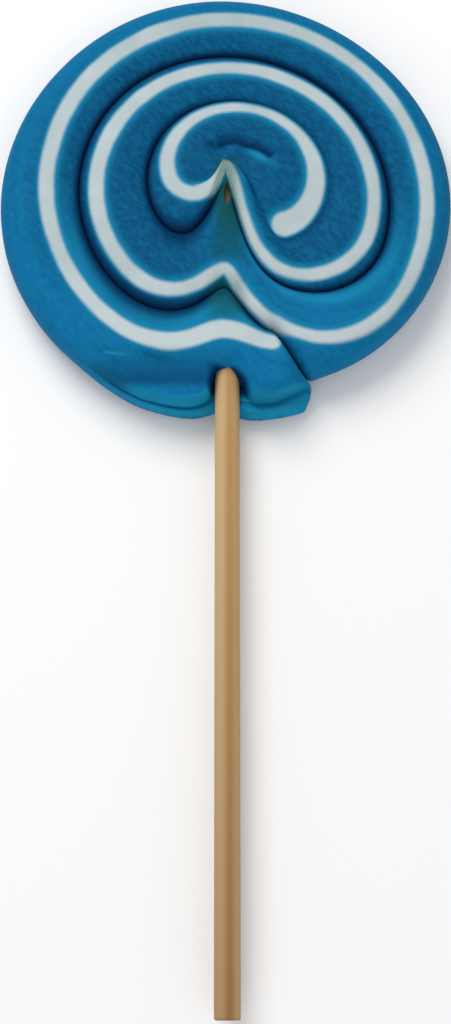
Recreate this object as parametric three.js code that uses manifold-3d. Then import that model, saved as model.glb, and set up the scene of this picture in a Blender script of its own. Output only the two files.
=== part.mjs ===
// Swirl lollipop: a rope of blue candy coiled three turns into a flat disc, a white layer running
// through the rope, and a round wooden stick pushed in along -Y. Millimetres, +Z up, disc lying flat.
// Origin: the middle of the coil, on its flat back. Dimensions below are given from the disc's centre,
// which lies a little toward the stick; the whole is moved to its origin at the end.
import * as THREE from 'three';
import { mergeVertices } from 'three/addons/utils/BufferGeometryUtils.js';
import Module from 'manifold-3d';

// ---- Disc -----------------------------------------------------------------------------------
const CROWN_Z = 11;            // top of each turn of the rope
const POLE_Z = 10.5;           // the disc's middle, slightly sunk
const FRONT_GROOVE_Z = 8.6;    // bottom of the groove between turns, front
const BACK_GROOVE_Z = 1.3;     // the same on the back, which was pressed flat
const SEAM_DEPTH = 0.9;        // the seam beside the rope's inner end starts this deep
const SEAM_DEEPENS = [100, 230]; // degrees past the inner end over which it becomes a full groove
const RIM_Z = 5;               // height of the rim's widest point
const FRONT_ROUNDNESS = 2.5;   // superellipse exponents of the rope's section
const BACK_ROUNDNESS = 2.2;
const BACK_FLAT = 0.56;        // share of the rope's width that lies flat on the back

// ---- Foot of the tail: a thin ledge pressed out under the last of the rope ---------------------
const FOOT_FROM = 946;         // unwound angle where it begins, and where it is whole
const FOOT_WHOLE = 970;
const FOOT_REACH = 0.76;       // how far it stands out past the coil
const FOOT_SHARE = 0.06;       // share of the rope's width
const FOOT_CREASE_Z = 4.1;
const FOOT_RIM_Z = 1.8;

// ---- Coil: radii toward the four sides (east, north, west, south) and along the diagonal ---------
// A turn may also swell in three lobes, the first of them in the direction lobesAt.
const GROOVE_TURNS = [
  { east: 18.5, north: 18.5, west: 14.8, south: 12.8, diagonal: 0, lobes: 0.32, lobesAt: -10.75 },
  { east: 29.6, north: 28, west: 27.2, south: 29.8, diagonal: -0.79, from: 292, over: 99 },
  {
    east: 40.85, north: 40.55, west: 41.1, south: 38.9, diagonal: 0.16,
    lobes: 0.6, lobesAt: -14.3, from: 645.4, over: 25,
  },
  { east: 43, north: 41.6, west: 42.25, south: 41.3, diagonal: 0, from: 869.5, over: 180 },
];
const STRIPE_TURNS = [
  { east: 15.9, north: 16.75, west: 9.4, south: 7.2, diagonal: -0.66 },
  { east: 26.6, north: 24.9, west: 23.8, south: 25.9, diagonal: -0.53, from: 292.8, over: 100 },
  { east: 36.2, north: 34.8, west: 32.85, south: 35.7, diagonal: -0.86, from: 644.8, over: 80.4 },
  { east: 36, north: 35, west: 33, south: 34.7, diagonal: 0, from: 998, over: 20 },
];
const START_SLOPE = 0.95;      // millimetres of radius per degree along the inner end's seam
const START_ROUNDING = 2;      // rounds the corner where that seam meets the first groove
const MIDDLE_ENDS_DEG = 14;     // the first turn, a flat dish, becomes a round rope over this much
const COLUMNS_PER_TURN = 64;
const FIRST_COLUMN_DEG = -42.5; // evenly spread angle of the first column, before crowding
const CROWDING = 0.55;          // columns crowd together toward the stick
const COLUMNS = 191;
const TAIL_ROUND_DEG = 6;       // the tail's end is rounded over this much of the turn
const TAIL_END_SHARE = 0.45;    // its height there, as a share of the rope's
const TAIL_CORNER = 0.3;        // its outer corner is rounded off by this
const TAIL_CORNER_DEG = 3;
const TAIL_BULGE_DEG = 1.8;     // its end stands out by this at the middle
const TAIL_BULGE_OVER = 12;     // over the last of these degrees
const DIP_ANGLE = 988.5;        // the rim dips a little where the stick comes out
const DIP_WIDTH_DEG = 6;
const DIP_DEPTH = 1;

// ---- Push of the stick: turns are pushed toward +Y where they cross it ---------------------------
const PUSH_AT_POLE = 8.4;
const PUSH_POLE_REACH = 17.6;
const PUSH_RADII_STEP = 6;
const PUSH = [8.4, 12.6, 16.7, 16.3, 15.45, 11.4, 8.2, 0.4];
const WIDTH_STEP = 10.5;
const PUSH_WIDTH = [2.85, 2.85, 4.36, 8.23, 5.37];
const PUSH_ROUNDING = [0.4, 0.4, 1.1, 1.8, 8.0];
const PUSH_TURN_ON = 0.4;
const PUSH_TURN_OVER = 0.7;
const PUSH_AXIS_X = -0.09;
const TWIST_DEG = 70;          // the middle is wrung round by this, fading outward
const TWIST_REACH = 5.6;
const TWIST_POWER = 1.6;

// ---- White layer ---------------------------------------------------------------------------
const STRIPE_FROM = -36.5;
const STRIPE_TO = 1002;
const STRIPE_APEXES = [269, 629, 989];  // where it folds over the stick
const STRIPE_WIDTHS_FROM = -41;
const STRIPE_WIDTH_STEP = 45;
const STRIPE_WIDTHS = [
  4.6, 3.3, 1.9, 2.0, 2.6, 2.8, 2.9, 1.7,
  2.3, 2.4, 2.6, 2.5, 2.8, 2.7, 2.8, 3.0,
  2.5, 2.5, 2.5, 2.9, 2.9, 2.7, 2.7, 3.3, 2.4,
];
const STRIPE_STEP_DEG = 7;
const STRIPE_FINE_DEG = 3;      // step near the folds
const STRIPE_FINE_WITHIN = 24;
const POST_SIDES = 16;
const GAP = 0.3;
const SHORTEST_EDGE = 0.03;
const CLEAN_PASSES = 6;

// ---- Stick and the hole it sits in ------------------------------------------------------------
const STICK_RADIUS = 2.2;
const STICK_Z = 5.6;
const STICK_TIP_Y = 6.5;
const STICK_END_Y = -145.3;
const STICK_EDGE = 0.45;        // rounding of both ends
const STICK_SIDES = 32;
const EDGE_STEPS = 3;
const HOLE_SIDES = 24;
const MOUTH_Y = -33.4;          // top of the arch where the stick comes out
const MOUTH_DROP = 5.6;
const MOUTH_LEFT = 2.9;
const MOUTH_RIGHT = 4.0;
const MOUTH_POWER = 1.8;
const MOUTH_FLOOR_Z = 3.4;
const MOUTH_END_Y = -46;
const MOUTH_STEPS = 8;
const SLOT_Y = [-2.6, 3.0];     // crease that shows the wood between the first two turns
const SLOT_HALF_WIDTH = 0.5;
const SLOT_SIDES = 16;
const ABOVE_Z = 14;
const BELOW_Z = -3;

const DEG = Math.PI / 180;
const TURN = 360;

const smooth = (t) => {
  const c = Math.min(Math.max(t, 0), 1);
  return c * c * (3 - 2 * c);
};

const mix = (a, b, t) => a + (b - a) * t;

const bulge = (s, power) => (1 - Math.min(Math.abs(s), 1) ** power) ** (1 / power);

// Catmull-Rom curve through evenly spaced values.
function along(values, x, step) {
  const last = values.length - 1;
  const u = Math.min(Math.max(x / step, 0), last - 1e-9);
  const i = Math.floor(u);
  const t = u - i;
  const at = (k) => values[Math.min(Math.max(k, 0), last)];
  const [a, b, c, d] = [at(i - 1), at(i), at(i + 1), at(i + 2)];
  return b + 0.5 * t * (c - a + t * (2 * a - 5 * b + 4 * c - d + t * (3 * b - a - 3 * c + d)));
}

function ringRadius({ east, north, west, south, diagonal, lobes = 0, lobesAt = 0 }, angle) {
  const f = angle * DEG;
  return (east + north + west + south) / 4
    + ((east - west) / 2) * Math.cos(f)
    + ((north - south) / 2) * Math.sin(f)
    + ((east + west - north - south) / 4) * Math.cos(2 * f)
    + diagonal * Math.sin(2 * f)
    + lobes * Math.cos(3 * (f - lobesAt * DEG));
}

// Radius of a coiled line at an unwound angle: each turn steps out to the next where it meets the stick.
function coilRadius(turns, angle) {
  let radius = ringRadius(turns[0], angle);
  for (let k = 1; k < turns.length; k += 1) {
    const share = smooth((angle - turns[k].from) / turns[k].over + 0.5);
    radius += (ringRadius(turns[k], angle) - ringRadius(turns[k - 1], angle)) * share;
  }
  return radius;
}

// How far the stick has pushed a point of the coil toward +Y.
function push(radius, angle) {
  const x = radius * Math.cos(angle * DEG);
  const below = smooth((-Math.sin(angle * DEG) + PUSH_TURN_ON) / PUSH_TURN_OVER);
  const above = PUSH_AT_POLE * (1 - smooth(radius / PUSH_POLE_REACH));
  const width = along(PUSH_WIDTH, radius, WIDTH_STEP);
  const rounding = along(PUSH_ROUNDING, radius, WIDTH_STEP);
  const across = Math.hypot(x - PUSH_AXIS_X, rounding) - rounding;
  return mix(above, along(PUSH, radius, PUSH_RADII_STEP), below) * Math.exp(-across / width);
}

function place(radius, angle) {
  return [radius * Math.cos(angle * DEG), radius * Math.sin(angle * DEG) + push(radius, angle)];
}

// ---- The rope as one closed solid --------------------------------------------------------------
const FRONT_ROWS = [0, 0.045, 0.17, 0.38, 0.62, 0.82, 1 - FOOT_SHARE, 1];
const flatEdge = (1 - BACK_FLAT) / 2;
const BACK_ROWS = [0, flatEdge * 0.25, flatEdge, 1 - flatEdge, 1 - flatEdge * 0.25, 1];
const MIDDLE_BACK_ROWS = [0, 0.35, 0.6, ...BACK_ROWS.slice(3)]; // the first turn is flat to the middle

function columnAngle(i) {
  const even = FIRST_COLUMN_DEG + (i * TURN) / COLUMNS_PER_TURN;
  return even - (CROWDING / DEG) * Math.cos(even * DEG);
}

const START_ANGLE = columnAngle(0);
const END_ANGLE = columnAngle(COLUMNS);
const NOTCH_COLUMN = COLUMNS - COLUMNS_PER_TURN;
const NOTCH_ANGLE = columnAngle(NOTCH_COLUMN);
const NOTCH_REACH = 22;

const footShare = (angle) => smooth((angle - FOOT_FROM) / (FOOT_WHOLE - FOOT_FROM));

// Radius of the groove outside the rope at an unwound angle; the rim once there is no further turn.
function edgeRadius(angle) {
  if (angle <= START_ANGLE) return 0;
  const corner = TAIL_CORNER * (1 - bulge(Math.max((angle - END_ANGLE) / TAIL_CORNER_DEG + 1, 0), 2));
  const dip = DIP_DEPTH * Math.exp(-(((angle - DIP_ANGLE) / DIP_WIDTH_DEG) ** 2));
  const wide = coilRadius(GROOVE_TURNS, angle) + FOOT_REACH * footShare(angle) - corner - dip;
  const seam = START_SLOPE * (angle - START_ANGLE);
  const rounded = (wide + seam - Math.hypot(wide - seam, START_ROUNDING)) / 2;
  return Math.max(Math.min(rounded, seam), 0);
}

function rimHeight(angle) {
  return mix(RIM_Z, FOOT_RIM_Z, footShare(angle));
}

// Height of the groove outside the rope: it opens to the rim's height where the tail parts from it.
function grooveHeight(angle, front) {
  const opened = smooth((angle - NOTCH_ANGLE) / NOTCH_REACH + 1);
  if (!front) return mix(BACK_GROOVE_Z, rimHeight(angle), opened);
  const [from, to] = SEAM_DEEPENS;
  const deep = smooth((angle - START_ANGLE - from) / (to - from));
  return mix(mix(CROWN_Z - SEAM_DEPTH, FRONT_GROOVE_Z, deep), rimHeight(angle), opened);
}

function frontHeight(angle, t) {
  const since = angle - TURN - START_ANGLE;
  const inner = since > 0 ? grooveHeight(angle - TURN, true) : POLE_Z;
  const outer = grooveHeight(angle, true);
  const rise = mix(smooth(2 * t), bulge(1 - 2 * t, FRONT_ROUNDNESS), smooth(since / MIDDLE_ENDS_DEG));
  if (t < 0.5) return mix(inner, CROWN_Z, rise);
  const plain = mix(outer, CROWN_Z, bulge(2 * t - 1, FRONT_ROUNDNESS));
  const creaseT = 1 - FOOT_SHARE;
  const footed = t <= creaseT
    ? mix(FOOT_CREASE_Z, CROWN_Z, bulge((t - 0.5) / (creaseT - 0.5), FRONT_ROUNDNESS))
    : mix(FOOT_RIM_Z, FOOT_CREASE_Z, bulge((t - creaseT) / FOOT_SHARE, 2));
  return mix(plain, footed, footShare(angle));
}

function backHeight(angle, t) {
  if (t >= flatEdge && t <= 1 - flatEdge) return 0;
  const inner = angle - TURN > START_ANGLE ? grooveHeight(angle - TURN, false) : 0;
  if (t < flatEdge) return mix(inner, 0, bulge(1 - t / flatEdge, BACK_ROUNDNESS));
  return mix(grooveHeight(angle, false), 0, bulge((t - 1 + flatEdge) / flatEdge, BACK_ROUNDNESS));
}

// Rounds the tail's end: both faces close on the rim's height over the last few degrees.
function tailShare(angle) {
  const s = Math.max((angle - END_ANGLE) / TAIL_ROUND_DEG + 1, 0);
  return mix(TAIL_END_SHARE, 1, bulge(s, 2));
}

function ropeGeometry() {
  const positions = [];
  const index = [];
  const add = (radius, angle, z) => {
    const twisted = angle + TWIST_DEG * Math.exp(-((radius / TWIST_REACH) ** TWIST_POWER));
    const ideal = [radius * Math.cos(twisted * DEG), radius * Math.sin(twisted * DEG)];
    const turned = Math.atan2(ideal[1], ideal[0]) / DEG;
    const [x, y] = place(radius, turned);
    positions.push(x, y, z);
    return positions.length / 3 - 1;
  };
  const pole = { front: add(0, 0, POLE_Z), back: add(0, 0, 0) };
  const ids = { front: [], back: [] };
  for (let i = 0; i <= COLUMNS; i += 1) {
    const angle = columnAngle(i);
    const inner = edgeRadius(angle - TURN);
    const outer = edgeRadius(angle);
    const middle = rimHeight(angle);
    const lean = TAIL_BULGE_DEG * smooth((angle - END_ANGLE) / TAIL_BULGE_OVER + 1);
    const before = i - COLUMNS_PER_TURN;
    const backRows = before <= 0 ? MIDDLE_BACK_ROWS : BACK_ROWS;
    for (const [side, rows, height] of [['front', FRONT_ROWS, frontHeight], ['back', backRows, backHeight]]) {
      const column = [];
      const last = rows.length - 1;
      rows.forEach((t, j) => {
        if (i === 0 || (j === 0 && before <= 0)) column.push(pole[side]);
        else if (j === 0) column.push(ids[side][before].at(-1));
        else if (j === last && side === 'back' && i >= NOTCH_COLUMN) column.push(ids.front[i].at(-1));
        else {
          const z = mix(middle, height(angle, t), j === last ? 1 : tailShare(angle));
          column.push(add(mix(inner, outer, t), angle + lean * Math.sin(Math.PI * t) ** 2, z));
        }
      });
      ids[side].push(column);
    }
  }
  const triangle = (a, b, c) => {
    if (a !== b && b !== c && a !== c) index.push(a, b, c);
  };
  for (let i = 0; i < COLUMNS; i += 1) {
    for (const side of ['front', 'back']) {
      const [near, far] = [ids[side][i], ids[side][i + 1]];
      for (let j = 0; j < near.length - 1; j += 1) {
        const quad = [near[j], near[j + 1], far[j + 1], far[j]];
        if (side === 'back') quad.reverse();
        triangle(quad[0], quad[1], quad[2]);
        triangle(quad[0], quad[2], quad[3]);
      }
    }
  }
  // The tail's end face.
  const front = ids.front[COLUMNS];
  const back = ids.back[COLUMNS];
  const outline = [...front, ...back.slice(1, -1).reverse()];
  for (let k = 1; k < outline.length - 1; k += 1) triangle(outline[0], outline[k], outline[k + 1]);
  const geometry = new THREE.BufferGeometry();
  geometry.setAttribute('position', new THREE.Float32BufferAttribute(positions, 3));
  geometry.setIndex(index);
  return geometry;
}

// ---- Solids made with manifold-3d -----------------------------------------------------------------
const wasm = await Module();
wasm.setup();

function solid(geometry) {
  const bare = geometry.clone();
  bare.deleteAttribute('normal');
  bare.deleteAttribute('uv');
  const merged = mergeVertices(bare, 1e-5);
  const mesh = new wasm.Mesh({
    numProp: 3,
    vertProperties: new Float32Array(merged.attributes.position.array),
    triVerts: new Uint32Array(merged.index.array),
  });
  return new wasm.Manifold(mesh);
}

// Closes up edges shorter than SHORTEST_EDGE that the cuts leave: each is drawn together to one end
// where the two ends share just the two neighbours of a plain closed surface.
function withoutShortEdges(positions, triangles) {
  const at = (v) => new THREE.Vector3().fromArray(positions, 3 * v);
  let faces = [];
  for (let k = 0; k < triangles.length; k += 3) faces.push([...triangles.slice(k, k + 3)]);
  for (let pass = 0; pass < CLEAN_PASSES; pass += 1) {
    const around = new Map();
    faces.forEach((face) => face.forEach((v) => {
      if (!around.has(v)) around.set(v, new Set());
      face.forEach((w) => w !== v && around.get(v).add(w));
    }));
    const moved = new Map();
    const touched = new Set();
    for (const [a, near] of around) {
      for (const b of near) {
        const free = a < b && !touched.has(a) && !touched.has(b);
        if (free && at(a).distanceTo(at(b)) < SHORTEST_EDGE) {
          const shared = [...near].filter((v) => around.get(b).has(v));
          if (shared.length === 2) {
            moved.set(b, a);
            [a, b, ...near, ...around.get(b)].forEach((v) => touched.add(v));
          }
        }
      }
    }
    if (!moved.size) break;
    faces = faces.map((face) => face.map((v) => moved.get(v) ?? v));
    faces = faces.filter(([a, b, c]) => a !== b && b !== c && a !== c);
  }
  return faces.flat();
}

function bufferOf(manifold) {
  const { vertProperties, triVerts } = manifold.getMesh();
  const geometry = new THREE.BufferGeometry();
  geometry.setAttribute('position', new THREE.BufferAttribute(new Float32Array(vertProperties), 3));
  geometry.setIndex(withoutShortEdges(vertProperties, triVerts));
  geometry.computeVertexNormals();
  return geometry;
}

// The largest piece of a solid, leaving out crumbs a cut has parted from it.
function largest(manifold) {
  return manifold.decompose().reduce((a, b) => (b.volume() > a.volume() ? b : a));
}

// Upright wall of varying width along a line in plan: a strip of four-cornered rings.
function wallGeometry(line) {
  const positions = [];
  const index = [];
  line.forEach(({ x, y, nx, ny, half }) => {
    for (const [side, z] of [[-1, BELOW_Z], [1, BELOW_Z], [1, ABOVE_Z], [-1, ABOVE_Z]]) {
      positions.push(x + nx * half * side, y + ny * half * side, z);
    }
  });
  for (let k = 0; k < line.length - 1; k += 1) {
    for (let s = 0; s < 4; s += 1) {
      const [a, b] = [4 * k + s, 4 * k + ((s + 1) % 4)];
      index.push(a, b + 4, b, a, a + 4, b + 4);
    }
  }
  const end = 4 * (line.length - 1);
  index.push(0, 1, 2, 0, 2, 3, end, end + 2, end + 1, end, end + 3, end + 2);
  const geometry = new THREE.BufferGeometry();
  geometry.setAttribute('position', new THREE.Float32BufferAttribute(positions, 3));
  geometry.setIndex(index);
  return geometry;
}

function post(x, y, radius, sides) {
  const geometry = new THREE.CylinderGeometry(radius, radius, ABOVE_Z - BELOW_Z, sides);
  geometry.rotateX(Math.PI / 2);
  geometry.translate(x, y, (ABOVE_Z + BELOW_Z) / 2);
  return solid(geometry);
}

function stripePoint(angle) {
  const [x, y] = place(coilRadius(STRIPE_TURNS, angle), angle);
  const [x2, y2] = place(coilRadius(STRIPE_TURNS, angle + 0.05), angle + 0.05);
  const length = Math.hypot(x2 - x, y2 - y);
  const width = along(STRIPE_WIDTHS, angle - STRIPE_WIDTHS_FROM, STRIPE_WIDTH_STEP);
  return { x, y, nx: (y2 - y) / length, ny: (x - x2) / length, half: width / 2 };
}

// The white layer's wall, wider all round by the given margin.
function stripeWall(margin) {
  const ends = [STRIPE_FROM, ...STRIPE_APEXES, STRIPE_TO];
  let wall = null;
  const join = (piece) => {
    wall = wall ? wall.add(piece) : piece;
  };
  for (let k = 0; k < ends.length - 1; k += 1) {
    const line = [];
    let angle = ends[k];
    while (angle < ends[k + 1]) {
      line.push(stripePoint(angle));
      const near = Math.min(...STRIPE_APEXES.map((apex) => Math.abs(apex - angle)));
      angle += near < STRIPE_FINE_WITHIN ? STRIPE_FINE_DEG : STRIPE_STEP_DEG;
    }
    line.push(stripePoint(ends[k + 1] - 0.05));
    join(solid(wallGeometry(line.map((p) => ({ ...p, half: p.half + margin })))));
  }
  for (const angle of ends) {
    const { x, y, half } = stripePoint(angle);
    join(post(x, y, half + margin, POST_SIDES));
  }
  return wall;
}

function boreGeometry() {
  const [from, to] = [MOUTH_END_Y, STICK_TIP_Y + GAP];
  const geometry = new THREE.CylinderGeometry(STICK_RADIUS + GAP, STICK_RADIUS + GAP, to - from, HOLE_SIDES);
  geometry.translate(0, (from + to) / 2, STICK_Z);
  return geometry;
}

function extruded(points, fromZ) {
  const shape = new THREE.Shape(points.map(([x, y]) => new THREE.Vector2(x, y)));
  const geometry = new THREE.ExtrudeGeometry(shape, { depth: ABOVE_Z - fromZ, bevelEnabled: false });
  geometry.translate(0, 0, fromZ);
  return geometry;
}

// Arch over the stick where it leaves the candy, open toward -Y.
function mouthGeometry() {
  const points = [];
  for (let k = -MOUTH_STEPS; k <= MOUTH_STEPS; k += 1) {
    const share = k / MOUTH_STEPS;
    const x = share * (share < 0 ? MOUTH_LEFT : MOUTH_RIGHT);
    points.push([x, MOUTH_Y - MOUTH_DROP * Math.abs(share) ** MOUTH_POWER]);
  }
  points.push([MOUTH_RIGHT, MOUTH_END_Y], [-MOUTH_LEFT, MOUTH_END_Y]);
  return extruded(points.reverse(), MOUTH_FLOOR_Z);
}

// Lens-shaped slot over the stick.
function slotGeometry() {
  const [from, to] = SLOT_Y;
  const points = [];
  for (let k = 0; k < SLOT_SIDES; k += 1) {
    const f = (k * TURN * DEG) / SLOT_SIDES;
    points.push([SLOT_HALF_WIDTH * Math.sin(f), (from + to) / 2 - ((to - from) / 2) * Math.cos(f)]);
  }
  return extruded(points, STICK_Z);
}

function stickGeometry() {
  const profile = [new THREE.Vector2(0, STICK_END_Y)];
  for (let k = 0; k <= EDGE_STEPS; k += 1) {
    const f = (k * Math.PI) / 2 / EDGE_STEPS;
    profile.push(new THREE.Vector2(
      STICK_RADIUS - STICK_EDGE * (1 - Math.sin(f)),
      STICK_END_Y + STICK_EDGE * (1 - Math.cos(f)),
    ));
  }
  for (let k = EDGE_STEPS; k >= 0; k -= 1) {
    const f = (k * Math.PI) / 2 / EDGE_STEPS;
    profile.push(new THREE.Vector2(
      STICK_RADIUS - STICK_EDGE * (1 - Math.sin(f)),
      STICK_TIP_Y - STICK_EDGE * (1 - Math.cos(f)),
    ));
  }
  profile.push(new THREE.Vector2(0, STICK_TIP_Y));
  return new THREE.LatheGeometry(profile, STICK_SIDES);
}

const rope = solid(ropeGeometry());
const holes = solid(boreGeometry()).add(solid(mouthGeometry())).add(solid(slotGeometry()));
const white = largest(rope.intersect(stripeWall(0)).subtract(holes));
const blue = largest(rope.subtract(stripeWall(GAP)).subtract(holes));

const paint = (color, roughness) => new THREE.MeshStandardMaterial({ color, roughness, metalness: 0 });

function piece(name, geometry, material) {
  const mesh = new THREE.Mesh(geometry, material);
  mesh.name = name;
  return mesh;
}

const lollipop = new THREE.Group();
lollipop.name = 'swirl_lollipop';
lollipop.add(piece('blue_candy', bufferOf(blue), paint(0x1a72ab, 0.35)));
lollipop.add(piece('white_candy', bufferOf(white), paint(0xc8d0d2, 0.4)));
const stick = piece('stick', stickGeometry(), paint(0xc2a172, 0.75));
stick.position.z = STICK_Z;
lollipop.add(stick);
lollipop.position.y = -place(0, 0)[1];

export default lollipop;
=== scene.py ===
"""Swirl lollipop: the look of its candy and its wooden stick, the floor, the light and the camera."""

import math

import bpy
import numpy as np
from bpy.props import FloatProperty, FloatVectorProperty, PointerProperty
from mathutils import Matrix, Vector


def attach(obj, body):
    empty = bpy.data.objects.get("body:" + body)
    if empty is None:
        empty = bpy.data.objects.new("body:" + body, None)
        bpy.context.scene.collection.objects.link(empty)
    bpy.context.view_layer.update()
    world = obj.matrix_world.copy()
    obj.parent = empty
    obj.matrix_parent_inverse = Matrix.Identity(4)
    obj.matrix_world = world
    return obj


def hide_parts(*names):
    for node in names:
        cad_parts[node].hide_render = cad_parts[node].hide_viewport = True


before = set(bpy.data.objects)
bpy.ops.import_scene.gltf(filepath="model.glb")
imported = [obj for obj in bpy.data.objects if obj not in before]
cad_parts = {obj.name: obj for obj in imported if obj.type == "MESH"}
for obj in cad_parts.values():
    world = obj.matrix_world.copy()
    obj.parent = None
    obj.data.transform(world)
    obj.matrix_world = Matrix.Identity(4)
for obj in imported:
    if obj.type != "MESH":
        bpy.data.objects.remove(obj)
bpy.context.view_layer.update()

bl_info = {
    "name": "Swirl lollipop",
    "version": (1, 0, 0),
    "blender": (4, 5, 0),
    "location": "View3D > Sidebar > Lollipop",
    "description": "Builds a coiled candy lollipop on a wooden stick",
    "category": "Object",
}

MM = 0.001
TURN = 360.0

# The coil, in millimetres from the disc's centre. A turn of the coil has a radius toward each side
# and a swelling along its diagonal, and takes over from the turn before it at an unwound angle. It
# may also swell in three lobes, the first of them in a given direction.
# (east, north, west, south, diagonal, from, over, lobes, lobes at)
GROOVE_TURNS = (
    (18.5, 18.5, 14.8, 12.8, 0, 0, 1, 0.32, -10.75),
    (29.6, 28, 27.2, 29.8, -0.79, 292, 99, 0, 0),
    (40.85, 40.55, 41.1, 38.9, 0.16, 648.75, 9.8, 0.6, -14.3),
    (43, 41.6, 42.25, 41.3, 0, 869.5, 180, 0, 0),
)
STRIPE_TURNS = (
    (15.9, 16.75, 9.4, 7.2, -0.66, 0, 1, 0, 0),
    (26.6, 24.9, 23.8, 25.9, -0.53, 292.8, 100, 0, 0),
    (36.2, 34.8, 32.85, 35.7, -0.86, 644.8, 80.4, 0, 0),
    (36, 35, 33, 34.2, 0, 998, 20, 0, 0),
)
START_SLOPE = 0.95  # radius per degree along the seam beside the rope's inner end
START_ROUNDING = 2  # rounds the corner where that seam meets the first groove
# Where the groove swells out beside the stick, and where the rim dips in: angle, width and height.
SWELLS = ((641.2, 8.7, 2.0), (988.5, 5, -0.85))
COLUMNS_PER_TURN = 300
FIRST_COLUMN_DEG = -31.5
COLUMNS = 895
CROWDING = 0.7  # how much the columns crowd toward the stick
FRONT_ROWS = (32, 16, 24)  # rows of faces across the blue inside, the white and the blue outside
BACK_ROWS = (12, 6, 12)
WALL_ROWS = 4
FOOT_ROWS = 16 / 24  # share of the outer rows that lies above the foot
CROWDED_OUT = (0.7, 0.5)  # how much those rows crowd toward the groove, and toward the foot
CROWDED_IN = 6.0  # radius at which the inner rows crowd fully toward the groove
EDGE_SHARE = 0.015  # the white stays at least this share of the width from the rope's edges
WIDTH_SAMPLES = 161  # places across each column at which the white's edges are looked for
DOUBLED = (205, 300, 15)  # where columns cross the bent white twice: from, to and fading over
EVENED_OVER = 17  # columns over which the white's edges are evened out there
MERGE_DISTANCE = 2e-7  # metres between points of two strips that are one

# Where the shade painted in the grooves is broad and dark: unwound angle, over how many degrees, and how
# much broader.
BROAD_GROOVES = ((238, 28, 1.6), (598, 35, 1.3))

# How far the stick has pushed the turns up. A table holds values at evenly spaced radii, and the
# space between them.
PUSH = ((8.4, 12.6, 16.7, 16.3, 15.45, 11.4, 8.2, 0.4), 6)
PUSH_WIDTH = ((2.85, 2.85, 4.36, 8.23, 5.37), 10.5)  # reach to either side
PUSH_ROUNDING = ((0.4, 1.9, 1.1, 1.8, 8.0), 10.5)  # of the peaks
PUSH_AXIS_X = -0.09
PUSH_AT_POLE = 8.4  # push above the middle, where it fades out
PUSH_POLE_REACH = 17.6  # radius at which it has
PUSH_TURN_ON = 0.4  # sine of the angle above the middle's level at which the full push starts
PUSH_TURN_OVER = 0.7  # and over how much of the sine it comes up
TWIST = (70, 5.6, 1.6)  # degrees at the middle, how far it reaches, how suddenly it fades

# The white layer's ends, and its widths every 45 degrees of the coil.
STRIPE_FROM = -36.5
STRIPE_TO = 1003.5
STRIPE_WIDTHS_FROM = -41
STRIPE_WIDTHS = (
    (4.6, 3.3, 1.9, 2.0, 2.6, 2.8, 2.9, 1.7)
    + (2.3, 2.4, 2.6, 2.5, 2.8, 2.7, 2.8, 3.0)
    + (2.5, 2.5, 2.5, 2.9, 2.9, 2.7, 2.7, 3.3, 1.2),
    45,
)
# Where the white layer keeps away from the groove beside the stick: angle, width and height.
STRIPE_SWELL = (645, 7.5, -0.5)
# Where it is narrower there: angle, reach, how suddenly it ends, how much.
STRIPE_WAISTS = ((636, 42, 4, 0.6), (638, 13, 2, 0.5))
STRIPE_STEP = 0.5  # degrees between the points of its middle line
STRIPE_SEARCH = 100  # steps either way in which a point's nearest one is looked for

# Heights of the rope's section.
POLE_Z = 10.5
TOP_Z = 10.98
FRONT_GROOVE_Z = 8.6
BACK_GROOVE_Z = 1.3
SEAM_DEPTH = 0.8
SEAM_OPENS = 18  # degrees past the inner end over which the seam takes this depth
SEAM_DEEPENS = (100, 230)  # and over which it becomes a full groove
SEAM_SOFT = (40, 150)  # degrees over which the turn outside it gets its full roundness
RIM_INSET = 0.12
RIM_Z = 5.0
FRONT_ROUNDNESS = 2.5
BACK_ROUNDNESS = 2.2
BACK_FLAT = 0.56
SECTION_WIDTHS = (1, 12)  # widths of the rope between which its section rounds from flat to full
FOOT = (946, 970, 4.7, 4.9, 1.8)  # from, whole, and the heights of its crease, top and rim
FOOT_WIDTHS = ((0.65, 0.75, 975, 30), (0, 1.6, 1001, 12))  # first, more, from and over: added up
FOOT_MOST = 0.45  # of the rope's width
FOOT_TOP = 0.6  # of the foot's width, from the rim in to where it is highest
FOOT_ROUNDNESS = 4.5
FOOT_REACH = 0.76
# Degrees that the rope's end stands out at its middle and stays back at the rim, and over how many.
TAIL_BULGE = (1.8, 1.0, 12)
TAIL_CORNER = (0.3, 3)  # rounding of its outer corner, and over how many degrees
TAIL_ROUND_DEG = 6
TAIL_END_SHARE = 0.45
NOTCH_REACH = 22

# Creases round the middle: an arc's middle, radius and directions, over how many degrees its ends
# fade, then depth, width outward and swelling.
MIDDLE_CREASES = (
    ((0.85, 5.95), 3.8, (36, 150), 25, 0.25, 1.5, 0.0),
    ((2.86, 2.12), 6.72, (33, 97), 12, 0.28, 0.8, 0.25),
)
CREASE_INSIDE = 0.6  # their width toward the arc's middle
CREASE_SWELLING = (-1.1, 1.6, 0.7)  # the swelling on that side: distance out, width inward and outward
CREASE_SHADE = (0.1, 1.5, 0.55, 1.4)  # painted shade: its distance at the crease, rising inward and outward, more past its ends
KNUCKLE = (6.2, 6.5, -31, 2.3, 0.8)  # painted highlight on the ridge under the second: middle, direction, half sizes
DUSK = (-2.6, 9.1, 4.0, 2.1)  # patch of painted shade beside the first: middle and half sizes
MIDDLE_HOLLOW = (7, 80, 0.35)  # how the middle sinks in: y, spread and depth
# Where the first two turns run together over the stick: half width, y from and to, fading over,
# height, and how far they do.
APEX = (1.5, -3.2, 6.6, 2.5, 10.1, 0.85)

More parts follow.
